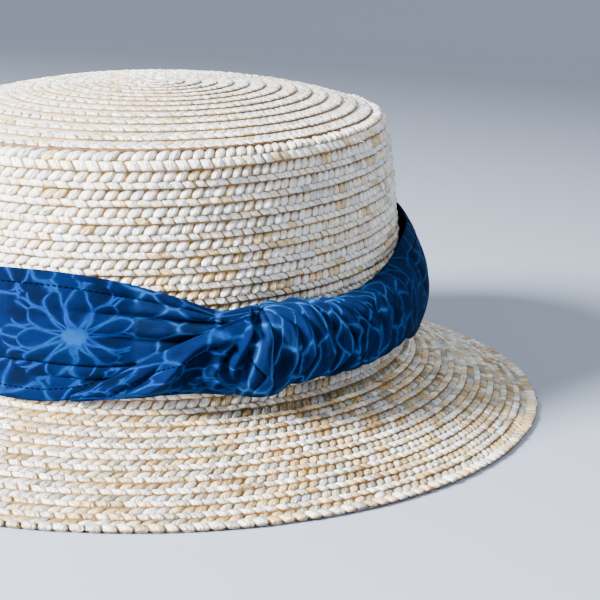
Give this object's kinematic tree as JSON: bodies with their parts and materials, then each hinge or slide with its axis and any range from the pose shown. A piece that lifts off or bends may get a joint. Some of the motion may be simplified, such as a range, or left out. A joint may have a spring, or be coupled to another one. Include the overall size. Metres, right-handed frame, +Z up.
{
  "type": "straw boater hat",
  "caption": "Boater-like sun hat sewn from plaited straw, with a domed crown, a sloping brim and a knotted, twisted cloth band.",
  "frame": {"origin": "middle of the brim, on the surface that the brim's outer row rests on", "axes": "+Z up through the crown; the wearer faces -Y and the wearer's left is +X"},
  "size_m": [0.2754, 0.3086, 0.1093],
  "materials": {
    "plaited_straw": "natural wheat straw, plaited, satin",
    "batik_cotton": "indigo batik cotton, matt"
  },
  "bodies": {
    "root": {"crown_tip": "plaited_straw", "crown_side": "plaited_straw", "brim": "plaited_straw", "band_panel": "batik_cotton", "band_fold": "batik_cotton", "band_knot": "batik_cotton", "band_roll": "batik_cotton"}
  },
  "joints": []
}
